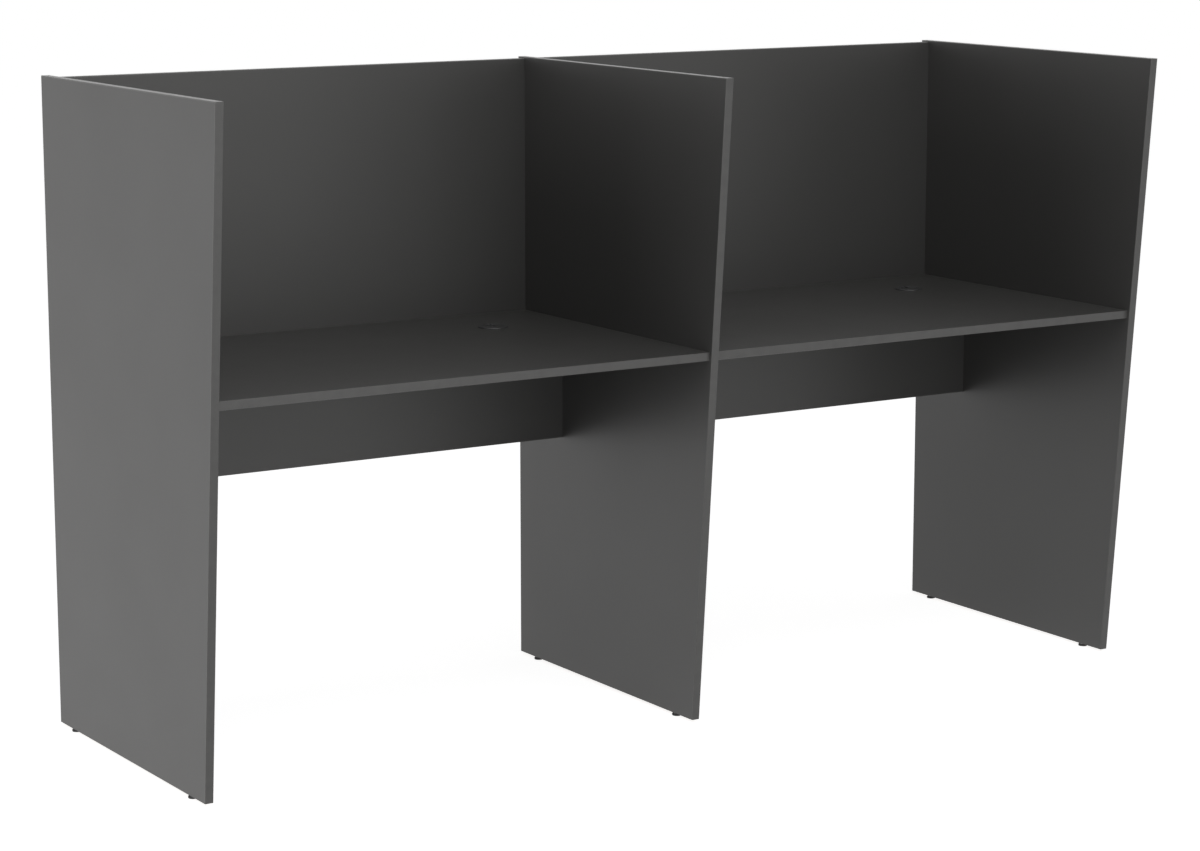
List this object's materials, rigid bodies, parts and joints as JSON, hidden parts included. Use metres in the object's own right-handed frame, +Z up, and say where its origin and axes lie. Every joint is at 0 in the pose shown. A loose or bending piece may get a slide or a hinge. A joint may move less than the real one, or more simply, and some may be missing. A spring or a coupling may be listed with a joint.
{
  "type": "two-person workstation",
  "caption": "Free-standing office workstation with two side-by-side bays: slanted side panels, worktops, back and modesty panels in dark laminate, cable grommets and levelling feet.",
  "frame": {"origin": "on the floor under the middle of the overall box", "axes": "+X along the bays to a sitter's right, +Y to the rear, +Z up"},
  "size_m": [2.05, 0.7319, 1.226],
  "materials": {
    "graphite_laminate": "matte melamine-faced board, fine pearl texture",
    "graphite_edging": "satin extruded edging strip",
    "cast_zinc": "as cast",
    "plated_steel": "zinc plated",
    "beech": "raw, fluted",
    "cover_plastic": "satin",
    "grommet_plastic": "satin moulded",
    "foot_plastic": "matte moulded"
  },
  "bodies": {
    "carcass": {"left_side_panel": "graphite_laminate", "left_side_front_edging": "graphite_edging", "left_side_top_edging": "graphite_edging", "left_side_rear_edging": "graphite_edging", "middle_side_panel": "graphite_laminate", "middle_side_front_edging": "graphite_edging", "middle_side_top_edging": "graphite_edging", "middle_side_rear_edging": "graphite_edging", "right_side_panel": "graphite_laminate", "right_side_front_edging": "graphite_edging", "right_side_top_edging": "graphite_edging", "right_side_rear_edging": "graphite_edging", "left_worktop": "graphite_laminate", "left_worktop_edging": "graphite_edging", "left_back_panel": "graphite_laminate", "left_back_edging": "graphite_edging", "left_modesty_panel": "graphite_laminate", "left_modesty_edging": "graphite_edging", "right_worktop": "graphite_laminate", "right_worktop_edging": "graphite_edging", "right_back_panel": "graphite_laminate", "right_back_edging": "graphite_edging", "right_modesty_panel": "graphite_laminate", "right_modesty_edging": "graphite_edging", "cam_locks": "cast_zinc", "cam_covers": "cover_plastic", "screw_covers": "cover_plastic", "cam_bolts": "plated_steel", "double_cam_bolts": "plated_steel", "back_screws": "plated_steel", "foot_sleeves": "plated_steel", "short_dowels": "beech", "long_dowels": "beech", "left_grommet_ring": "grommet_plastic", "right_grommet_ring": "grommet_plastic"},
    "left_front_pad": {"left_front_foot_pad": "foot_plastic"},
    "left_front_stem": {"left_front_foot_stem": "plated_steel"},
    "left_rear_pad": {"left_rear_foot_pad": "foot_plastic"},
    "left_rear_stem": {"left_rear_foot_stem": "plated_steel"},
    "middle_front_pad": {"middle_front_foot_pad": "foot_plastic"},
    "middle_front_stem": {"middle_front_foot_stem": "plated_steel"},
    "middle_rear_pad": {"middle_rear_foot_pad": "foot_plastic"},
    "middle_rear_stem": {"middle_rear_foot_stem": "plated_steel"},
    "right_front_pad": {"right_front_foot_pad": "foot_plastic"},
    "right_front_stem": {"right_front_foot_stem": "plated_steel"},
    "right_rear_pad": {"right_rear_foot_pad": "foot_plastic"},
    "right_rear_stem": {"right_rear_foot_stem": "plated_steel"},
    "left_lid": {"left_grommet_lid": "grommet_plastic"},
    "right_lid": {"right_grommet_lid": "grommet_plastic"}
  },
  "joints": [
    {"name": "left_front_foot_lift", "type": "slide", "parent": "carcass", "child": "left_front_pad", "axis": [0, 0, -1], "range_m": [0, 0.01]},
    {"name": "left_front_foot_turn", "type": "hinge", "parent": "left_front_pad", "child": "left_front_stem", "pos_m": [-1.016, -0.201, 0.015], "axis": [0, 0, -1], "range_deg": [0, 3600]},
    {"name": "left_rear_foot_lift", "type": "slide", "parent": "carcass", "child": "left_rear_pad", "axis": [0, 0, -1], "range_m": [0, 0.01]},
    {"name": "left_rear_foot_turn", "type": "hinge", "parent": "left_rear_pad", "child": "left_rear_stem", "pos_m": [-1.016, 0.308, 0.015], "axis": [0, 0, -1], "range_deg": [0, 3600]},
    {"name": "middle_front_foot_lift", "type": "slide", "parent": "carcass", "child": "middle_front_pad", "axis": [0, 0, -1], "range_m": [0, 0.01]},
    {"name": "middle_front_foot_turn", "type": "hinge", "parent": "middle_front_pad", "child": "middle_front_stem", "pos_m": [0, -0.201, 0.015], "axis": [0, 0, -1], "range_deg": [0, 3600]},
    {"name": "middle_rear_foot_lift", "type": "slide", "parent": "carcass", "child": "middle_rear_pad", "axis": [0, 0, -1], "range_m": [0, 0.01]},
    {"name": "middle_rear_foot_turn", "type": "hinge", "parent": "middle_rear_pad", "child": "middle_rear_stem", "pos_m": [0, 0.308, 0.015], "axis": [0, 0, -1], "range_deg": [0, 3600]},
    {"name": "right_front_foot_lift", "type": "slide", "parent": "carcass", "child": "right_front_pad", "axis": [0, 0, -1], "range_m": [0, 0.01]},
    {"name": "right_front_foot_turn", "type": "hinge", "parent": "right_front_pad", "child": "right_front_stem", "pos_m": [1.016, -0.201, 0.015], "axis": [0, 0, -1], "range_deg": [0, 3600]},
    {"name": "right_rear_foot_lift", "type": "slide", "parent": "carcass", "child": "right_rear_pad", "axis": [0, 0, -1], "range_m": [0, 0.01]},
    {"name": "right_rear_foot_turn", "type": "hinge", "parent": "right_rear_pad", "child": "right_rear_stem", "pos_m": [1.016, 0.308, 0.015], "axis": [0, 0, -1], "range_deg": [0, 3600]},
    {"name": "left_lid_turn", "type": "hinge", "parent": "carcass", "child": "left_lid", "pos_m": [-0.185, 0.171, 0.719], "axis": [0, 0, 1], "continuous": true},
    {"name": "right_lid_turn", "type": "hinge", "parent": "carcass", "child": "right_lid", "pos_m": [0.831, 0.171, 0.719], "axis": [0, 0, 1], "continuous": true}
  ],
  "couplings": [
    {"joint": "left_front_foot_turn", "follows": "left_front_foot_lift", "rad_per_m": 6283.2},
    {"joint": "left_rear_foot_turn", "follows": "left_rear_foot_lift", "rad_per_m": 6283.2},
    {"joint": "middle_front_foot_turn", "follows": "middle_front_foot_lift", "rad_per_m": 6283.2},
    {"joint": "middle_rear_foot_turn", "follows": "middle_rear_foot_lift", "rad_per_m": 6283.2},
    {"joint": "right_front_foot_turn", "follows": "right_front_foot_lift", "rad_per_m": 6283.2},
    {"joint": "right_rear_foot_turn", "follows": "right_rear_foot_lift", "rad_per_m": 6283.2}
  ]
}
